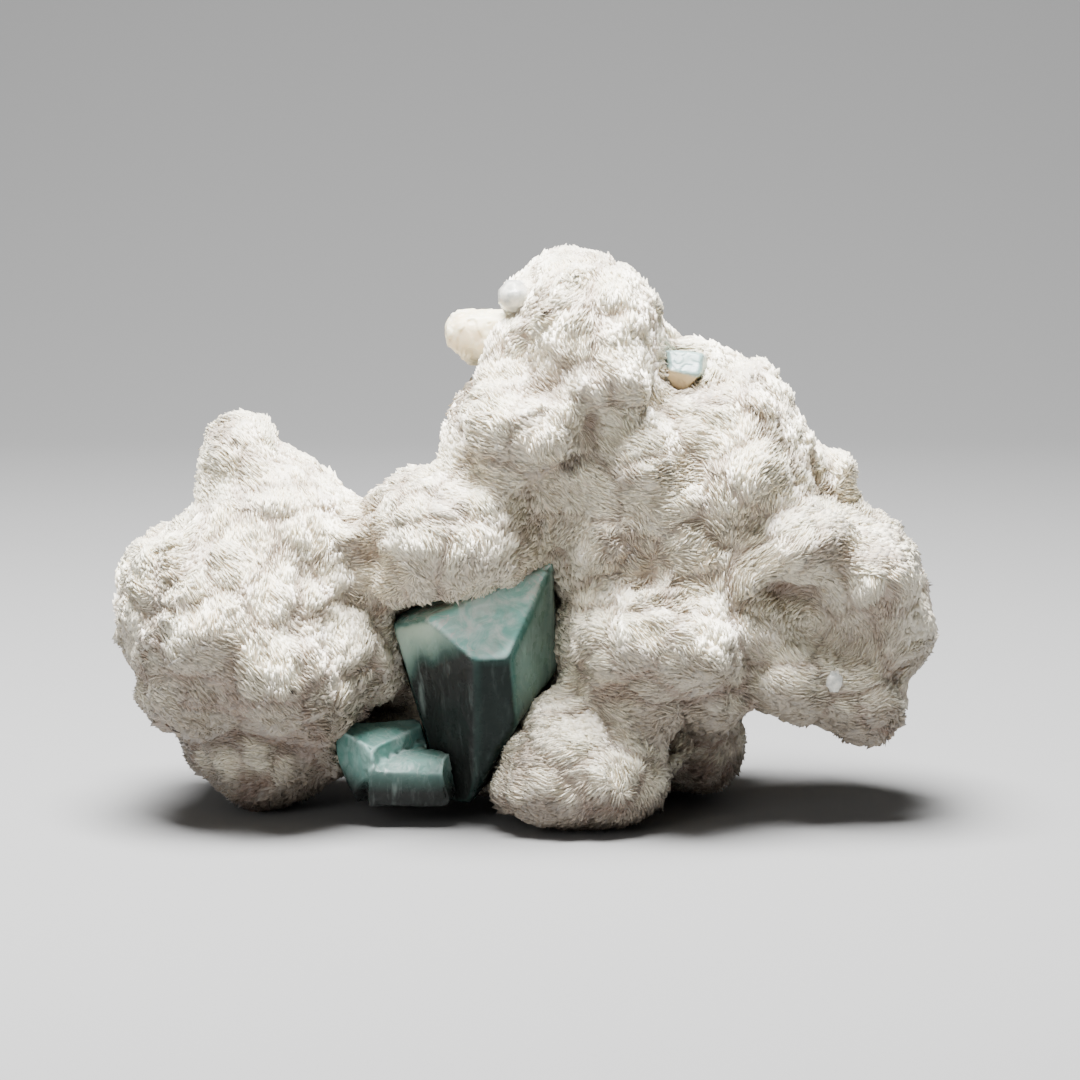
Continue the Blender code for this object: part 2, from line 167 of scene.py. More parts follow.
def node_copy(node, name):
    """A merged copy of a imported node's mesh as a new object, in metres."""
    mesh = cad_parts[node].data.copy()
    mesh.name = name
    mesh.materials.clear()
    piece = bpy.data.objects.new(name, mesh)
    bpy.context.scene.collection.objects.link(piece)
    weld = piece.modifiers.new("weld", "WELD")
    weld.merge_threshold = 0.00001
    return piece


def settle(piece):
    """Make a piece's modifiers part of its mesh."""
    graph = bpy.context.evaluated_depsgraph_get()
    mesh = bpy.data.meshes.new_from_object(piece.evaluated_get(graph))
    piece.modifiers.clear()
    piece.data = mesh


def vertex_array(mesh):
    """Vertex places in millimetres."""
    flat = np.empty(len(mesh.vertices) * 3)
    mesh.vertices.foreach_get("co", flat)
    return flat.reshape(-1, 3) / MM


def normal_array(mesh):
    """Each vertex's normal."""
    flat = np.empty(len(mesh.vertices) * 3)
    mesh.vertex_normals.foreach_get("vector", flat)
    return flat.reshape(-1, 3)


def put_vertices(mesh, points):
    """Move the vertices to places in millimetres."""
    mesh.vertices.foreach_set("co", (points * MM).ravel())
    mesh.update()


def put_attribute(mesh, name, values):
    """Store one number for each vertex under a name that the materials read."""
    layer = mesh.attributes.new(name, "FLOAT", "POINT")
    layer.data.foreach_set("value", np.asarray(values, dtype=np.float32))


def smooth(mesh):
    """Shade every face smoothly."""
    mesh.polygons.foreach_set("use_smooth", np.ones(len(mesh.polygons), dtype=bool))


def growth(points, normals):
    """The way that blades flow over the surface, with its part along the normal taken away: a
    slow drift in space, which near the right lobe's curl gives way to a turn around it."""
    slow, quick = DRIFT_SIZES
    drift = ripple_vector(points, slow, 11) + 0.45 * ripple_vector(points, quick, 12)
    drift = drift + DRIFT_STEADY
    spoke = points - CURL_MIDDLE
    spoke[:, 1] = 0.0
    reach = np.linalg.norm(spoke, axis=1, keepdims=True)
    around = np.cross(unit(spoke), np.array([0.0, 1.0, 0.0]))
    share = np.exp(-(reach / CURL_REACH) ** 4) * (points[:, 1:2] < 5.0)
    return across(drift * (1 - share) + 1.6 * around * share, normals)


def edge_array(mesh):
    """The two vertices of each edge."""
    flat = np.empty(len(mesh.edges) * 2, dtype=np.int64)
    mesh.edges.foreach_get("vertices", flat)
    return flat.reshape(-1, 2)


def eased(values, edges, rounds):
    """Each round, every vertex's vector moves half of the way to the mean of those at the far
    ends of its edges."""
    near, far = edges.ravel(), edges[:, ::-1].ravel()
    count = len(values)
    share = 1 / np.maximum(np.bincount(near, minlength=count), 1)
    for _ in range(rounds):
        sums = [np.bincount(near, weights=values[far, axis], minlength=count) for axis in range(3)]
        values = 0.5 * values + 0.5 * np.stack(sums, axis=1) * share[:, None]
    return values


def skin_over(piece, voxel):
    """Lay one even skin over all of a piece."""
    skin = piece.modifiers.new("skin", "REMESH")
    skin.mode = "VOXEL"
    skin.voxel_size = voxel * MM


def swell(piece, distance):
    """Move the skin outwards, or inwards for a negative distance."""
    move = piece.modifiers.new("swell", "DISPLACE")
    move.mid_level = 0.0
    move.strength = distance * MM


# The creases between lobes are bridged where they are narrower than twice CREASE_FILL
core = node_copy("cleavelandite_matrix", "cleavelandite_core")
skin_over(core, GROUND_VOXEL)
swell(core, CREASE_FILL)
skin_over(core, GROUND_VOXEL)
swell(core, -CREASE_FILL)
skin_over(core, GROUND_VOXEL)
settle(core)
for node in CRYSTALS:
    room = node_copy(node, node + "_room")
    swell(room, SOCKET_ROOM)
    settle(room)
    room.location.y = -SOCKET_ROOM * MM
    dig = core.modifiers.new("dig", "BOOLEAN")
    dig.operation = "DIFFERENCE"
    dig.solver = "EXACT"
    dig.object = room
    settle(core)
    bpy.data.objects.remove(room, do_unlink=True)
skin_over(core, CORE_VOXEL)
ease = core.modifiers.new("ease", "SMOOTH")
ease.factor = 0.5
ease.iterations = GROUND_EASE
settle(core)

ground = vertex_array(core.data)
normals = normal_array(core.data)
_, _, tuft_in = cells(ground + TUFT_BEND * ripple_vector(ground, 11.0, 24), TUFT_SIZE, 21)
_, _, fan_in = cells(ground + FAN_BEND * ripple_vector(ground, 6.0, 22), FAN_SIZE, 23)
rise = (TUFT_RISE * (np.minimum(tuft_in / ROUND_OVER, 1.0) ** 0.7 - 0.7)
        + FAN_RISE * (np.minimum(fan_in / ROUND_OVER, 1.0) ** 0.7 - 0.6) + GROUND_RISE)
off_flats = np.clip(ground[:, 2] / FLATS_HEIGHT, 0.0, 1.0)
ground = ground + normals * (rise * off_flats)[:, None]
ground[:, 2] = np.maximum(ground[:, 2], 0.0)
put_vertices(core.data, ground)

# What the colours need to know of each place, for the painted shade in crevices and under the lobes
# and for the specks: how deep it lies in a crevice, from the depth under the same surface once that
# is eased, how far it looks down, and where the specks are
ground_normals = normal_array(core.data)
even = eased(ground, edge_array(core.data), CREVICE_ROUNDS)
sunk = np.sum((even - ground) * ground_normals, axis=1)
shallow, deep_down = CREVICE_DEPTH
crevice = np.clip((sunk - shallow) / (deep_down - shallow), 0.0, 1.0)
# Painted shade in crevices and along the tufts' borders
hollow = np.maximum(0.7 * (1 - np.minimum(tuft_in / 0.22, 1.0)), crevice)
# Painted shade: darker where the surface looks down, fading higher up
under = np.clip((UNDER_SHADE_START - ground_normals[:, 2]) / UNDER_SHADE_SPAN, 0.0, 1.0)
under *= 1.0 - 0.8 * np.clip((ground[:, 2] - UNDER_SHADE_FADE_FROM) / UNDER_SHADE_FADE_OVER, 0.0, 1.0)


def speck_share(points, normals):
    """A speck's strength in its middle, on the front only, and 0 from its radius outwards."""
    share = np.zeros(len(points))
    on_front = normals[:, 1] < -0.2
    for x, z, radius, strength in SPECKS:
        reach = np.hypot(points[:, 0] - x, points[:, 2] - z) / radius
        share = np.maximum(share, strength * np.clip(2 * (1 - reach), 0.0, 1.0) * on_front)
    return share


# Between the blades the ground has some of their edges' pearl and the rest of the painted shade at
# their feet, and their mean tint
put_attribute(core.data, "crest", np.full(len(ground), 0.35))
put_attribute(core.data, "tint", np.full(len(ground), 0.5))
put_attribute(core.data, "hollow", hollow)
put_attribute(core.data, "under", under)
put_attribute(core.data, "speck", speck_share(ground, ground_normals))
smooth(core.data)


def shader_graph(name):
    """A new material: itself, its node tree and its Principled BSDF."""
    material = bpy.data.materials.new(name)
    material.use_nodes = True
    tree = material.node_tree
    return material, tree, tree.nodes["Principled BSDF"]


def add(tree, kind, inputs=(), **settings):
    """Add a node. Inputs are pairs of a socket's name or number and a value or another socket."""
    node = tree.nodes.new(kind)
    for key, value in settings.items():
        setattr(node, key, value)
    for key, value in inputs:
        if isinstance(value, bpy.types.NodeSocket):
            tree.links.new(value, node.inputs[key])
        else:
            node.inputs[key].default_value = value
    return node


def attribute(tree, name):
    """Read a number that is stored for each vertex."""
    return add(tree, "ShaderNodeAttribute", attribute_name=name).outputs["Fac"]


def span(tree, value, low, high, to_low=0.0, to_high=1.0):
    """Stretch a value from the range low to high, evened out at both ends."""
    node = add(tree, "ShaderNodeMapRange", (("Value", value), ("From Min", low), ("From Max", high),
                                            ("To Min", to_low), ("To Max", to_high)),
               interpolation_type="SMOOTHSTEP")
    return node.outputs["Result"]


def mix(tree, amount, first, second):
    """Blend two colours by an amount that changes over the surface."""
    node = add(tree, "ShaderNodeMix", data_type="RGBA")
    for key, value in (("Factor", amount), ("A", first), ("B", second)):
        target = next(s for s in node.inputs if s.name == key and s.enabled)
        if isinstance(value, bpy.types.NodeSocket):
            tree.links.new(value, target)
        else:
            target.default_value = (*value, 1.0)
    return next(s for s in node.outputs if s.enabled)


def maths(tree, operation, *values):
    """One step of arithmetic on numbers or sockets."""
    return add(tree, "ShaderNodeMath", enumerate(values), operation=operation).outputs[0]


def new_group(name, inputs, outputs):
    """A shader node group: its tree, its input sockets by name, and the node that it puts out
    through. Inputs are a name, a kind and a value each, and outputs a name and a kind."""
    tree = bpy.data.node_groups.new(name, "ShaderNodeTree")
    for label, kind, value in inputs:
        made = tree.interface.new_socket(name=label, in_out="INPUT", socket_type=kind)
        made.default_value = value
    for label, kind in outputs:
        tree.interface.new_socket(name=label, in_out="OUTPUT", socket_type=kind)
    taken = tree.nodes.new("NodeGroupInput").outputs
    return tree, taken, tree.nodes.new("NodeGroupOutput")


def put_out(tree, node, **values):
    """Link a group's results to its output sockets by name."""
    for name, value in values.items():
        tree.links.new(value, node.inputs[name])


def placed_group(tree, group, **values):
    """Place a node group in a material, with its own values, and return its output sockets."""
    return add(tree, "ShaderNodeGroup", values.items(), node_tree=group).outputs


# Mottle: soft patches of a given size, as a mask from 0 to 1
mottle, given, out = new_group(
    "mottle",
    (("Scale", "NodeSocketFloat", 60.0), ("Detail", "NodeSocketFloat", 3.0),
     ("Warp", "NodeSocketFloat", 0.0)),
    (("Mask", "NodeSocketFloat"),))
where = add(mottle, "ShaderNodeTexCoord").outputs["Object"]
patch = add(mottle, "ShaderNodeTexNoise", (("Vector", where), ("Scale", given["Scale"]),
                                           ("Detail", given["Detail"]), ("Roughness", 0.6),
                                           ("Distortion", given["Warp"]))).outputs["Fac"]
put_out(mottle, out, Mask=span(mottle, patch, 0.32, 0.68))

# Pearly white at the blades' outer edges, and dusky pink and brown between them, the brown towards
# their feet being painted shade; crevices and the undersides of the lobes get painted shade too
PEARL = ((0.97, 0.885, 0.655), (0.945, 0.88, 0.655))
BUFF = (0.84, 0.745, 0.57)
BLADE_FOOT_PAINTED_SHADE = ((0.57, 0.46, 0.36), (0.72, 0.625, 0.50))
DUSKY_PINK = (0.82, 0.68, 0.55)
UNDER_PAINTED_SHADE = (0.21, 0.16, 0.12)
CREVICE_PAINTED_SHADE = (0.22, 0.135, 0.10)
GREY_GRAIN = (0.62, 0.56, 0.52)
RUST_AND_PIT_SHADE = (0.03, 0.018, 0.012)

white, tree, shader = shader_graph("white_albite")
crest = attribute(tree, "crest")
low = attribute(tree, "hollow")
down = attribute(tree, "under")
wide = placed_group(tree, mottle, Scale=32.0)["Mask"]
close = placed_group(tree, mottle, Scale=110.0, Warp=0.6)["Mask"]
fine = placed_group(tree, mottle, Scale=900.0)["Mask"]
edge = mix(tree, wide, *PEARL)
edge = mix(tree, span(tree, attribute(tree, "tint"), 0.0, 1.0, 0.0, 0.5), edge, BUFF)
# Painted shade towards the blades' feet and between them, in two warm tints
deep = mix(tree, close, *BLADE_FOOT_PAINTED_SHADE)
colour = mix(tree, span(tree, crest, 0.0, 0.8), deep, edge)
colour = mix(tree, maths(tree, "MULTIPLY", close, 0.3), colour, DUSKY_PINK)
# Painted shade under the lobes
colour = mix(tree, maths(tree, "MULTIPLY", down, 0.9), colour, UNDER_PAINTED_SHADE)
# Painted shade: brown in crevices
colour = mix(tree, span(tree, low, 0.05, 0.9, 0.0, 0.78), colour, CREVICE_PAINTED_SHADE)
colour = mix(tree, maths(tree, "MULTIPLY", fine, 0.12), colour, GREY_GRAIN)
# Rust spots, and painted shade for the pit
colour = mix(tree, attribute(tree, "speck"), colour, RUST_AND_PIT_SHADE)
tree.links.new(colour, shader.inputs["Base Color"])
shader.inputs["Roughness"].default_value = 0.3
shader.inputs["Subsurface Weight"].default_value = 0.35
shader.inputs["Subsurface Radius"].default_value = (1.0, 0.85, 0.75)
shader.inputs["Subsurface Scale"].default_value = 0.0012
core.data.materials.append(white)
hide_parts("cleavelandite_matrix")
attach(core, "root")


# Blades
# Thin albite blades stand all over the white mass, packed like the pages of half-open books.
# Each is a slim closed sliver: its root lies under the ground, and its outer edge is a lens
# as long as the blade is wide. Neighbours share one heading, and each book has its own lean.

BLADES = 150000
BLADE_GROUPS = 6
BLADE_WIDE = (1.4, 4.9)
BLADE_THICK = (0.13, 0.30)
# How deep the root lies, how far above the ground the edge stands at the least, how much more
# it stands in the middle of a book, and how much more in the few tallest blades
BLADE_ROOT = 2.2
BLADE_STAND = 0.12
BOOK_STAND = 0.8
TALL_STAND = 0.25
# The share of its width by which each end lies lower than the middle of the edge
BLADE_DROP = (0.06, 0.26)
BOOK_SIZE = 5.5
# Angles in radians: how far books turn from the flow and tip over from one another, how far
# the blades fan out across a book, and how much each blade strays from its book
BOOK_TURN = 1.0
BOOK_TIP = 0.9
BOOK_FAN = 0.7
STRAY = 0.12
SEED = 5


def scatter(mesh, count, random):
    """Points spread evenly over a mesh: equal steps along the running total of its triangles'
    areas, each at a random place in its triangle. Returns the corners of each point's triangle
    and the share that each corner has in the point."""
    mesh.calc_loop_triangles()
    corners = np.empty(len(mesh.loop_triangles) * 3, dtype=np.int64)
    mesh.loop_triangles.foreach_get("vertices", corners)
    corners = corners.reshape(-1, 3)
    areas = np.empty(len(corners))
    mesh.loop_triangles.foreach_get("area", areas)
    total = np.cumsum(areas)
    steps = (np.arange(count) + random.random(count)) / count * total[-1]
    chosen = corners[np.searchsorted(total, steps).clip(0, len(corners) - 1)]
    u, v = random.random(count), random.random(count)
    fold = u + v > 1
    u, v = np.where(fold, 1 - u, u), np.where(fold, 1 - v, v)
    return chosen, np.stack([1 - u - v, u, v], axis=1)


def between(values, chosen, share):
    """A vertex value, or vector, at each scattered point: its corners' values by their shares."""
    return np.einsum("ij,ij...->i...", share, values[chosen])


def book_value(places, seed):
    """A value from 0 to 1 that is the same for all points with the same book centre."""
    whole = np.round(places * 64).astype(np.int64)
    return lattice(whole[:, 0], whole[:, 1], whole[:, 2], seed)


def blade_arrays(points, normals, hollows, random):
    """Five corners for each blade. The root is one corner under the ground. The outer edge is
    a lens: two ends, half the width away along the heading, and two sides, half the thickness
    away across it. Ends stand lower than sides, so that each edge is bowed. Blades sink in
    hollows, at the flats and around the bare bump. Also returns each book's own value."""
    count = len(points)
    book, own, inside = cells(points + 0.6 * ripple_vector(points, 3.0, 31), BOOK_SIZE, 32)
    heading = growth(points, normals)
    side = np.cross(normals, heading)
    turn = (own - 0.5) * BOOK_TURN + random.normal(0.0, STRAY, count)
    along = heading * np.cos(turn)[:, None] + side * np.sin(turn)[:, None]
    through = np.cross(normals, along)
    fanned = np.sum((points - book) * through, axis=1) / BOOK_SIZE
    tip_over = ((book_value(book, 5) - 0.5) * BOOK_TIP + fanned * BOOK_FAN
                + random.normal(0.0, STRAY, count))
    lean_on = 0.15 + 0.35 * book_value(book, 6) + random.normal(0.0, 0.1, count)
    out = unit(normals + through * np.tan(tip_over.clip(-0.9, 0.9))[:, None]
               + along * lean_on[:, None])
    width = BLADE_WIDE[0] + (BLADE_WIDE[1] - BLADE_WIDE[0]) * random.random(count) ** 1.6
    thick = BLADE_THICK[0] + (BLADE_THICK[1] - BLADE_THICK[0]) * random.random(count) ** 1.4
    dome = np.minimum(inside / ROUND_OVER, 1.0) ** 0.7
    stand = (BLADE_STAND + BOOK_STAND * dome * random.uniform(0.55, 1.0, count)
             + TALL_STAND * random.random(count) ** 5)
    stand *= 1 - 0.3 * hollows
    stand *= np.clip(np.linalg.norm(points - BUMP_MIDDLE, axis=1) / BUMP_REACH, 0.0, 1.0) ** 3
    off_flats = np.clip(points[:, 2] / 4.0, 0.15, 1.0)
    top = points + out * (stand * off_flats)[:, None]
    run = across(along - 0.2 * normals, out)
    drop = random.uniform(*BLADE_DROP, (count, 2)) * width[:, None]
    corners = np.empty((count, 5, 3))
    corners[:, 0] = points - out * BLADE_ROOT
    corners[:, 1] = top + run * (width / 2)[:, None] - out * drop[:, :1]
    corners[:, 2] = top - run * (width / 2)[:, None] - out * drop[:, 1:]
    skew = run * (random.uniform(-0.25, 0.25, count) * width)[:, None]
    corners[:, 3] = top + np.cross(out, run) * (thick / 2)[:, None] + skew
    corners[:, 4] = top - np.cross(out, run) * (thick / 2)[:, None] + skew
    corners[:, :, 2] = np.maximum(corners[:, :, 2], 0.02)
    return corners, own


# The faces of one blade by its corners, two of the lens and four down to the root
LENS_FACES = np.array([(1, 3, 4), (2, 4, 3), (0, 3, 1), (0, 2, 3), (0, 4, 2), (0, 1, 4)])


def blade_mesh(name, corners, **values):
    """Put the blades' corners and faces into one mesh, with a value of each kind per blade."""
    count = len(corners)
    faces = (LENS_FACES[None] + 5 * np.arange(count)[:, None, None]).reshape(-1, 3)
    mesh = bpy.data.meshes.new(name)
    mesh.vertices.add(count * 5)
    mesh.vertices.foreach_set("co", (corners * MM).ravel())
    mesh.loops.add(len(faces) * 3)
    mesh.loops.foreach_set("vertex_index", faces.ravel().astype(np.int32))
    mesh.polygons.add(len(faces))
    mesh.polygons.foreach_set("loop_start", (np.arange(len(faces)) * 3).astype(np.int32))
    mesh.update(calc_edges=True)
    put_attribute(mesh, "crest", np.tile([0.0, 1.0, 1.0, 1.0, 1.0], count))
    for kind, value in values.items():
        put_attribute(mesh, kind, np.repeat(value, 5))
    return mesh


random = np.random.default_rng(SEED)
chosen, share = scatter(core.data, BLADES, random)
roots = between(ground, chosen, share)
root_normals = unit(between(ground_normals, chosen, share))
root_hollow = between(hollow, chosen, share)
blades, book_tints = blade_arrays(roots, root_normals, root_hollow, random)
blade_values = {
    "tint": np.clip(0.6 * book_tints + 0.4 * random.random(BLADES), 0, 1),
    "hollow": root_hollow,
    "under": between(under, chosen, share),
    "speck": speck_share(roots, root_normals),
}
from_left = np.argsort(roots[:, 0])
for number, group in enumerate(np.array_split(from_left, BLADE_GROUPS), 1):
    name = f"cleavelandite_blades_{number}"
    own_values = {kind: value[group] for kind, value in blade_values.items()}
    piece = bpy.data.objects.new(name, blade_mesh(name, blades[group], **own_values))
    bpy.context.scene.collection.objects.link(piece)
    piece.data.materials.append(white)
    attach(piece, "root")


# Large crystal
# Amazonite, a blue-green feldspar, grown as one blocky crystal. Its flat faces carry low steps
# and fine grooves along its length, its edges are worn round and nicked, and white threads of
# albite run through it. It is pale where it slopes up, partly as painted light, and dark with
# painted shade lower down, where it is also clear.

# The grid of the skin over the crystal
LARGE_VOXEL = 0.4
# The ways that the large crystal's faces look
BRIGHT_FACE = (-0.10, -0.75, 0.65)
LEFT_FACE = (-0.68, -0.71, -0.17)
RIGHT_FACE = (0.86, -0.50, -0.03)
RIM_FACE = (0.99, -0.05, -0.05)


def crystal_copy(node, name, voxel):
    """An even mesh over a packed crystal: the solid is remeshed, then laid back on its faces."""
    guide = node_copy(node, name + "_guide")
    settle(guide)
    piece = node_copy(node, name)
    skin_over(piece, voxel)
    settle(piece)
    lay = piece.modifiers.new("lay", "SHRINKWRAP")
    lay.target = guide
    lay.wrap_method = "NEAREST_SURFACEPOINT"
    settle(piece)
    bpy.data.objects.remove(guide, do_unlink=True)
    smooth(piece.data)
    return piece


def weather(piece, wear, grooves, pits, steps, nicks, axis=(0.0, 0.1, 1.0)):
    """Wear the edges round in so many rounds, then move the surface along its normals. Grooves
    are noise drawn out twelve times along the axis, pits are small round noise, steps are wide
    noise rounded to thirds, and nicks are bites out of the edges, found where a vertex's normal
    differs most from its neighbours' mean. Returns the places before that move, the normals
    blended over about 2 mm, and the share of edge."""
    joined = edge_array(piece.data)
    put_vertices(piece.data, eased(vertex_array(piece.data), joined, wear))
    points = vertex_array(piece.data)
    normals = normal_array(piece.data)
    line = np.array(axis) / np.linalg.norm(axis)
    drawn = points - line * (points @ line)[:, None] * (11 / 12)
    groove = 0.6 * ripple(drawn, 0.9, 41) + 0.4 * ripple(drawn, 2.2, 42)
    steep = 1 - np.abs(normals @ line) ** 2
    pit = ripple(points, 1.6, 43) + 0.5 * ripple(points, 0.8, 44)
    slow = ripple(points * [1.0, 1.0, 0.6], 5.0, 45) + 0.4 * ripple(points, 1.8, 46)
    step = np.round(slow * 3) / 3
    mean = eased(normals, joined, 8)
    edge = np.clip((0.985 - np.linalg.norm(mean, axis=1)) / 0.08, 0.0, 1.0)
    nick = edge * np.clip(ripple(points, 1.3, 47) + 0.6 * ripple(points, 4.0, 48), 0.0, 1.0)
    move = grooves * groove * steep + pits * pit + steps * step * (1 - edge) - nicks * nick
    put_vertices(piece.data, points + normals * move[:, None])
    return points, unit(eased(normals, joined, 40)), edge


def facing(normals, way):
    """1 on the face that looks a given way, falling to 0 where the two are 37 degrees apart."""
    return np.clip((normals @ np.array(way) - 0.8) / (0.95 - 0.8), 0.0, 1.0)


def above(height, line, blend):
    """0 up to a line, and 1 from so many millimetres above it."""
    return np.clip((height - line) / blend, 0, 1)


def below(height, line, blend):
    """0 down to a line, and 1 from so many millimetres below it."""
    return np.clip((line - height) / blend, 0, 1)


# Streaks: fine lines along the crystals' length, as a mask and as a height
streaks, given, out = new_group(
    "streaks",
    (("Scale", "NodeSocketFloat", 500.0), ("Stretch", "NodeSocketVector", (1.0, 1.0, 0.08)),
     ("Thinness", "NodeSocketFloat", 0.6)),
    (("Mask", "NodeSocketFloat"), ("Height", "NodeSocketFloat")))
where = add(streaks, "ShaderNodeTexCoord").outputs["Object"]
column = add(streaks, "ShaderNodeMapping",
             (("Vector", where), ("Scale", given["Stretch"]))).outputs["Vector"]
line = add(streaks, "ShaderNodeTexNoise", (("Vector", column), ("Scale", given["Scale"]),
                                           ("Detail", 3.0), ("Roughness", 0.6),
                                           ("Distortion", 0.25))).outputs["Fac"]
put_out(streaks, out, Mask=span(streaks, line, given["Thinness"], 0.78), Height=line)

# Teal under clouds of pale turquoise, with frosted, grey, dark and rim parts where the crystals'
# own numbers say so. The pale parts are partly painted light, where faces look up and on upper
# edges; the grey is clear crystal with painted shade, the dark parts are painted shade, and the rim
# is painted light shining through. White veins follow the noise's middle level on the pale parts.
TEAL = ((0.05, 0.15, 0.125), (0.13, 0.27, 0.23))
CLEAR_GREY_AND_SHADE = (0.036, 0.038, 0.036)
FROST = (0.44, 0.54, 0.45)
TURQUOISE = ((0.34, 0.72, 0.66), (0.84, 0.98, 0.95))
PAINTED_SHADE_DARK = (0.003, 0.005, 0.004)
RIM_PAINTED_LIGHT = (0.38, 0.47, 0.41)
THREAD_WHITE = (0.50, 0.62, 0.57)
SCRATCH_GREY = (0.60, 0.70, 0.66)
VEIN_WHITE = (0.88, 0.90, 0.88)

amazonite, tree, shader = shader_graph("amazonite_teal")
where = add(tree, "ShaderNodeTexCoord").outputs["Object"]
wide = placed_group(tree, mottle, Scale=70.0, Warp=0.5)["Mask"]
close = placed_group(tree, mottle, Scale=330.0, Detail=4.0)["Mask"]
thread = placed_group(tree, streaks, Scale=420.0, Thinness=0.58)
scratch = placed_group(tree, streaks, Scale=900.0, Thinness=0.55, Stretch=(1.0, 1.0, 0.05))
rift = add(tree, "ShaderNodeTexNoise", (("Vector", where), ("Scale", 150.0), ("Detail", 5.0),
                                        ("Roughness", 0.55), ("Distortion", 1.4))).outputs["Fac"]
from_line = maths(tree, "ABSOLUTE", maths(tree, "SUBTRACT", rift, 0.5))
vein = maths(tree, "MULTIPLY", span(tree, from_line, 0.004, 0.03, 1.0, 0.0),
             span(tree, wide, 0.35, 0.75))
cloud = placed_group(tree, mottle, Scale=190.0, Detail=6.0, Warp=1.3)["Mask"]
pale = attribute(tree, "pale")
colour = mix(tree, wide, *TEAL)
# Clear grey, darkened with painted shade
colour = mix(tree, attribute(tree, "grey"), colour, CLEAR_GREY_AND_SHADE)
colour = mix(tree, attribute(tree, "frost"), colour, FROST)
# Pale turquoise, partly painted light on faces that look up
colour = mix(tree, pale, colour, mix(tree, cloud, *TURQUOISE))
# Painted shade: dark lower down
colour = mix(tree, attribute(tree, "shade"), colour, PAINTED_SHADE_DARK)
# Painted light shining through the rim
colour = mix(tree, attribute(tree, "rim"), colour, RIM_PAINTED_LIGHT)
# Threads and scratches are dimmed in the painted shade
lit = maths(tree, "SUBTRACT", 1.0, maths(tree, "MULTIPLY", attribute(tree, "shade"), 0.75))
white_line = maths(tree, "MULTIPLY", thread["Mask"], maths(tree, "MULTIPLY", lit, 0.3))
colour = mix(tree, white_line, colour, THREAD_WHITE)
grey_line = maths(tree, "MULTIPLY", scratch["Mask"], maths(tree, "MULTIPLY", lit, 0.1))
colour = mix(tree, grey_line, colour, SCRATCH_GREY)
white_vein = maths(tree, "MULTIPLY", vein, maths(tree, "MULTIPLY", pale, 0.8))
colour = mix(tree, white_vein, colour, VEIN_WHITE)
tree.links.new(colour, shader.inputs["Base Color"])
tree.links.new(span(tree, close, 0.0, 1.0, 0.24, 0.42), shader.inputs["Roughness"])
bump = add(tree, "ShaderNodeBump", (("Strength", 0.35), ("Distance", 0.0002),
                                    ("Height", scratch["Height"])))
tree.links.new(bump.outputs["Normal"], shader.inputs["Normal"])
shader.inputs["Subsurface Weight"].default_value = 0.2
shader.inputs["Subsurface Radius"].default_value = (0.55, 1.0, 0.9)
shader.inputs["Subsurface Scale"].default_value = 0.003
shader.inputs["Specular IOR Level"].default_value = 0.15

large = crystal_copy("amazonite_crystal_large", "amazonite_large", LARGE_VOXEL)
points, normals, edge = weather(large, 10, 0.07, 0.04, 0.25, 0.9)
bright = facing(normals, BRIGHT_FACE)
left = facing(normals, LEFT_FACE)
right = facing(normals, RIGHT_FACE)
rim = facing(normals, RIM_FACE)
height = points[:, 2]
front = (1 - bright) * (1 - left) * (1 - right) * (1 - rim)
top = np.clip((normals[:, 2] - 0.7) / 0.2, 0, 1)
# The left face is frosted above a ragged line that climbs to the right
frost_line = 37 + 0.75 * (points[:, 0] + 12) + 2.0 * ripple(points, 4.0, 49)
# Painted shade: the faces darken lower down, each from its own height
dark = (front * below(height, 40, 8) + right * below(height, 31, 14)
        + 0.68 * left * below(height, frost_line, 12) + rim * below(height, 27, 12))
# Clear grey on the lower left face and a little on the right, darkened with painted shade
grey = left * below(height, frost_line + 5, 7) + 0.25 * right
# Painted light: paler on the bright face, on faces that look up and on the upper edges, over the
# crystal's own pale turquoise
put_attribute(large.data, "pale", np.clip(bright + top + 0.2 * edge * (height > 30), 0, 1))
put_attribute(large.data, "frost", 0.85 * left * above(height, frost_line, 6))
put_attribute(large.data, "grey", grey)
# Painted shade, none on the bright face
put_attribute(large.data, "shade", 0.96 * np.clip(dark, 0, 1) * (1 - bright))
# Painted light shining through the thin right rim, higher up
put_attribute(large.data, "rim", 0.6 * rim * above(height, 20, 15))
large.data.materials.append(amazonite)
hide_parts("amazonite_crystal_large")
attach(large, "root")


# Small pair
# Two small amazonite crystals that grew into each other at the large one's foot. Their tops are
# turquoise and finely broken, with painted light where they look up and along their edges, and
# lower down they are clear, grey and grooved upright, darkened with painted shade.

SMALL_VOXEL = 0.3

small = crystal_copy("amazonite_crystals_small", "amazonite_small", SMALL_VOXEL)
points, normals, edge = weather(small, 3, 0.08, 0.06, 0.35, 1.1)
height = points[:, 2]
# Painted light: the tops paler where they look up and along their edges
tops = above(height, 9, 3) * np.clip(normals[:, 2] + 0.7, 0, 1)
put_attribute(small.data, "pale", (0.15 + 0.3 * edge) * tops)
# Clear grey lower down, darkened with painted shade
put_attribute(small.data, "grey", below(height, 13, 6))
# Painted shade: darker lower down
put_attribute(small.data, "shade", 0.6 * below(height, 12, 9))
for kind in ("frost", "rim"):
    put_attribute(small.data, kind, np.zeros(len(points)))
small.data.materials.append(amazonite)
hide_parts("amazonite_crystals_small")
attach(small, "root")


# Chip
# A small pale blue amazonite crystal, half sunk in the white mass high on the right, with a
# cream feldspar underside.

CHIP_VOXEL = 0.2
PALE_BLUE = ((0.22, 0.33, 0.32), (0.35, 0.46, 0.43))
CHIP_CREAM = (0.56, 0.45, 0.28)
CHIP_STREAK = (0.88, 0.92, 0.90)

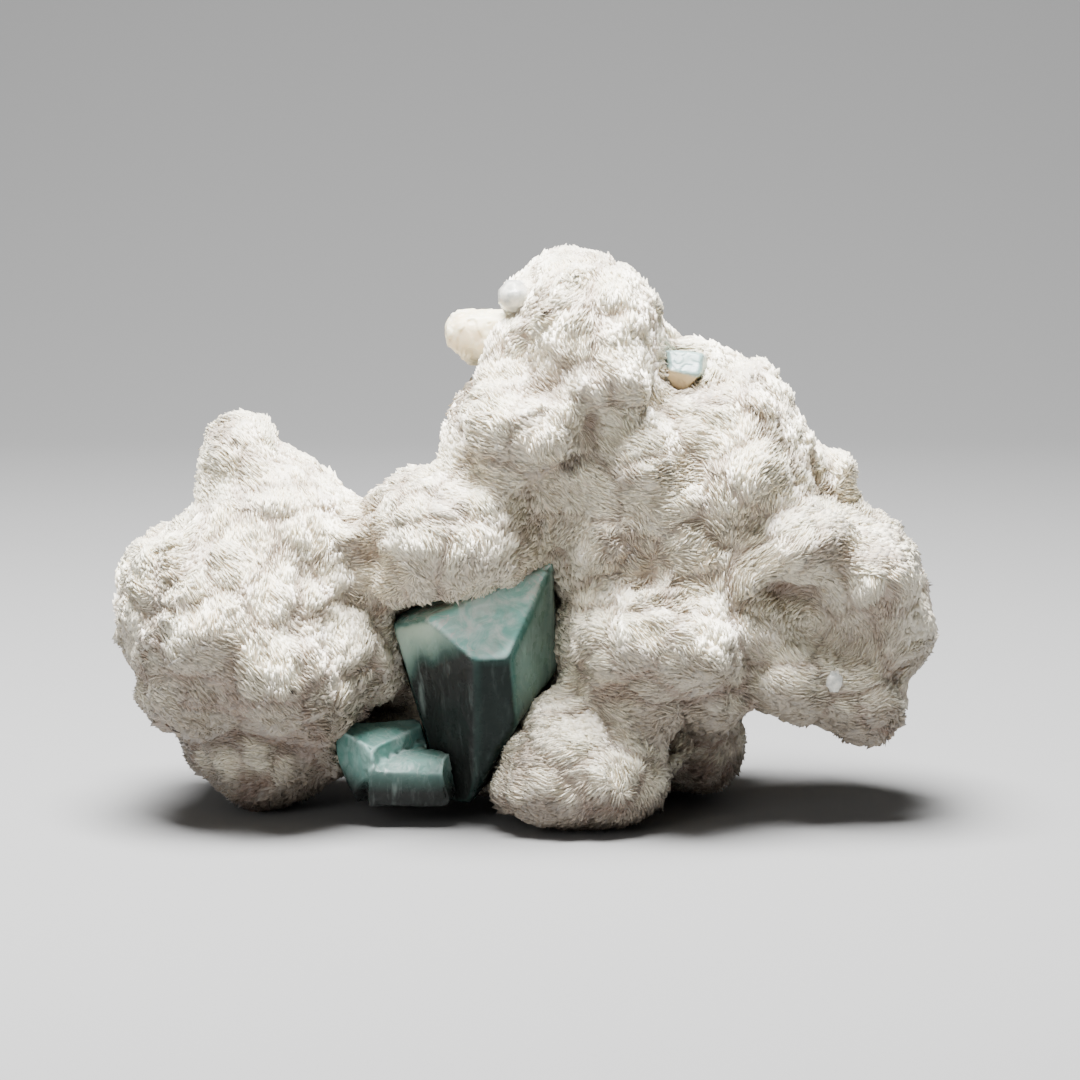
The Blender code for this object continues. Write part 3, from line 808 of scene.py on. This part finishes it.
blue, tree, shader = shader_graph("amazonite_pale_blue")
close = placed_group(tree, mottle, Scale=300.0, Detail=4.0)["Mask"]
thread = placed_group(tree, streaks, Scale=700.0, Stretch=(0.3, 1.0, 1.0))
colour = mix(tree, close, *PALE_BLUE)
colour = mix(tree, attribute(tree, "cream"), colour, CHIP_CREAM)
colour = mix(tree, maths(tree, "MULTIPLY", thread["Mask"], 0.4), colour, CHIP_STREAK)
tree.links.new(colour, shader.inputs["Base Color"])
shader.inputs["Roughness"].default_value = 0.3
shader.inputs["Subsurface Weight"].default_value = 0.25
shader.inputs["Subsurface Radius"].default_value = (0.7, 0.9, 1.0)
shader.inputs["Subsurface Scale"].default_value = 0.002
chip = crystal_copy("amazonite_chip_upper", "amazonite_chip", CHIP_VOXEL)
points, _, _ = weather(chip, 10, 0.04, 0.06, 0.3, 0.7)
low, high = (np.array(corner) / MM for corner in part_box("amazonite_chip_upper"))
middle = (low + high) / 2
# The cream starts just above the middle, and its border falls to the right
border = middle[2] + 0.3 - 0.3 * (points[:, 0] - middle[0])
put_attribute(chip.data, "cream", below(points[:, 2], border, 0.6))
chip.data.materials.append(blue)
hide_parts("amazonite_chip_upper")
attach(chip, "root")


# Cream knob
# A smooth stub of cream feldspar that stands out of the left side of the crown, rounded by
# wear, darker and greyer where it faces down.

KNOB_VOXEL = 0.25
# The way along the knob
KNOB_AXIS = (1.0, 0.0, 0.2)
CREAM = ((0.88, 0.73, 0.47), (0.98, 0.90, 0.68))
KNOB_UNDER = (0.42, 0.40, 0.31)
KNOB_STREAK = (0.95, 0.94, 0.91)

cream, tree, shader = shader_graph("feldspar_cream")
close = placed_group(tree, mottle, Scale=200.0)["Mask"]
thread = placed_group(tree, streaks, Scale=500.0, Stretch=(0.25, 1.0, 1.0), Thinness=0.55)
colour = mix(tree, close, *CREAM)
colour = mix(tree, attribute(tree, "under"), colour, KNOB_UNDER)
colour = mix(tree, maths(tree, "MULTIPLY", thread["Mask"], 0.3), colour, KNOB_STREAK)
tree.links.new(colour, shader.inputs["Base Color"])
shader.inputs["Roughness"].default_value = 0.36
shader.inputs["Subsurface Weight"].default_value = 0.35
shader.inputs["Subsurface Radius"].default_value = (1.0, 0.85, 0.6)
shader.inputs["Subsurface Scale"].default_value = 0.002
knob = crystal_copy("feldspar_knob_cream", "feldspar_knob", KNOB_VOXEL)
_, normals, _ = weather(knob, 30, 0.06, 0.14, 0.7, 0.3, KNOB_AXIS)
put_attribute(knob.data, "under", np.clip(-1.2 * normals[:, 2] - 0.2, 0, 1))
knob.data.materials.append(cream)
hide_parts("feldspar_knob_cream")
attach(knob, "root")


# Beads
# Smooth lumps of hazy albite among the blades: a bead under the curl of the right lobe, and a
# larger bump on the crown's left shoulder, above the knob. Both are sunk in the white mass.

BEAD_PLACE = np.array([58.5, -22.0, 28.4])
BEAD_SIZE = (1.7, 1.0, 2.2)
BUMP_SIZE = (3.4, 5.0, 3.3)
HAZE = ((0.42, 0.425, 0.40), (0.74, 0.72, 0.65))
# Points round a ring, and rings from pole to pole, both poles counted
RING_POINTS = 32
RINGS = 19

clear, tree, shader = shader_graph("albite_clear")
haze = placed_group(tree, mottle, Scale=500.0)["Mask"]
tree.links.new(mix(tree, haze, *HAZE), shader.inputs["Base Color"])
shader.inputs["Roughness"].default_value = 0.2
shader.inputs["Subsurface Weight"].default_value = 0.4
shader.inputs["Subsurface Radius"].default_value = (0.8, 0.9, 1.0)
shader.inputs["Subsurface Scale"].default_value = 0.002


def bead(name, middle, size, uneven):
    """A closed, slightly uneven ball: rings of points between two poles, pushed in and out by
    ripples of a third of its half-size. Size is half of each side."""
    turns, slices = np.meshgrid(np.linspace(0, 2 * np.pi, RING_POINTS + 1)[:-1],
                                np.linspace(0, np.pi, RINGS)[1:-1])
    wide = np.sin(slices)
    ball = np.stack([wide * np.cos(turns), wide * np.sin(turns), np.cos(slices)], axis=-1)
    skin = np.concatenate([ball.reshape(-1, 3), [[0, 0, 1], [0, 0, -1]]])
    skin = middle + np.array(size) * skin * (1 + uneven * ripple(skin * 3, 1.0, 51))[:, None]
    upper_pole = len(skin) - 2
    lower_pole = len(skin) - 1
    ring = np.arange(upper_pole).reshape(-1, RING_POINTS)
    after = np.roll(ring, -1, axis=1)
    sides = np.stack([ring[:-1], ring[1:], after[1:], after[:-1]], axis=-1)
    faces = sides.reshape(-1, 4).tolist()
    faces += [(upper_pole, int(i), int(j)) for i, j in zip(ring[0], after[0])]
    faces += [(lower_pole, int(j), int(i)) for i, j in zip(ring[-1], after[-1])]
    mesh = bpy.data.meshes.new(name)
    mesh.from_pydata((skin * MM).tolist(), [], faces)
    smooth(mesh)
    mesh.materials.append(clear)
    piece = bpy.data.objects.new(name, mesh)
    bpy.context.scene.collection.objects.link(piece)
    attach(piece, "root")


nearest = np.argmin(np.linalg.norm(ground - BEAD_PLACE, axis=1))
bead("albite_bead", ground[nearest] + 0.2 * ground_normals[nearest], BEAD_SIZE, 0.2)
bead("albite_bump", BUMP_MIDDLE, BUMP_SIZE, 0.12)


# Floor, lights and camera
# The specimen stands on a plain pale floor, under a wide soft light from above and a weak
# fill from the front. The camera looks slightly down on it, from 0.9 m in front. Lengths in
# this section are in metres.

FLOOR_REACH = 8.0
SWEEP_START = 0.6
SWEEP_RADIUS = 0.5
BACKDROP_TOP = 2.2
PALE_GREY = (0.25, 0.25, 0.25, 1.0)

# The floor's profile: flat to the sweep, a quarter of a circle, and straight up behind it
turn = np.linspace(0, math.pi / 2, 48)
curve = np.stack([SWEEP_START + SWEEP_RADIUS * np.sin(turn),
                  SWEEP_RADIUS - SWEEP_RADIUS * np.cos(turn)], axis=1)
profile = np.concatenate([[[-FLOOR_REACH, 0.0]], curve,
                          [[SWEEP_START + SWEEP_RADIUS, BACKDROP_TOP]]])
corners = [(x, y, z) for y, z in profile for x in (-FLOOR_REACH, FLOOR_REACH)]
strips = [(2 * i, 2 * i + 1, 2 * i + 3, 2 * i + 2) for i in range(len(profile) - 1)]
floor_mesh = bpy.data.meshes.new("floor")
floor_mesh.from_pydata(corners, [], strips)
smooth(floor_mesh)
floor = bpy.data.objects.new("floor", floor_mesh)
bpy.context.scene.collection.objects.link(floor)
pale_floor, tree, shader = shader_graph("pale_floor")
shader.inputs["Base Color"].default_value = PALE_GREY
shader.inputs["Roughness"].default_value = 0.9
floor.data.materials.append(pale_floor)


def softbox(name, place, aim, size, power):
    """A square soft light of so many watts, turned to face a point."""
    light = bpy.data.lights.new(name, "AREA")
    light.shape = "SQUARE"
    light.size = size
    light.energy = power
    made = bpy.data.objects.new(name, light)
    made.location = place
    made.rotation_euler = (Vector(aim) - Vector(place)).to_track_quat("-Z", "Y").to_euler()
    bpy.context.scene.collection.objects.link(made)


LIT_POINT = (0, 0, 0.06)
softbox("top_light", (-0.06, -0.04, 0.70), LIT_POINT, 0.40, 38.0)
softbox("front_fill", (-0.55, -0.95, 0.45), LIT_POINT, 0.5, 2.6)
world = bpy.data.worlds.new("studio")
world.use_nodes = True
surroundings = world.node_tree.nodes["Background"]
surroundings.inputs["Color"].default_value = (1.0, 1.0, 1.0, 1.0)
surroundings.inputs["Strength"].default_value = 0.10
bpy.context.scene.world = world

ELEVATION = math.radians(8)
AIM = Vector((0.0024, -0.0008, 0.0528))
DISTANCE = 0.9
camera = bpy.data.cameras.new("camera")
camera.lens = 154.6
camera.sensor_width = 36.0
camera.clip_start = 0.05
viewer = bpy.data.objects.new("camera", camera)
viewer.location = AIM + DISTANCE * Vector((0, -math.cos(ELEVATION), math.sin(ELEVATION)))
viewer.rotation_euler = (AIM - viewer.location).to_track_quat("-Z", "Y").to_euler()
bpy.context.scene.collection.objects.link(viewer)
bpy.context.scene.camera = viewer
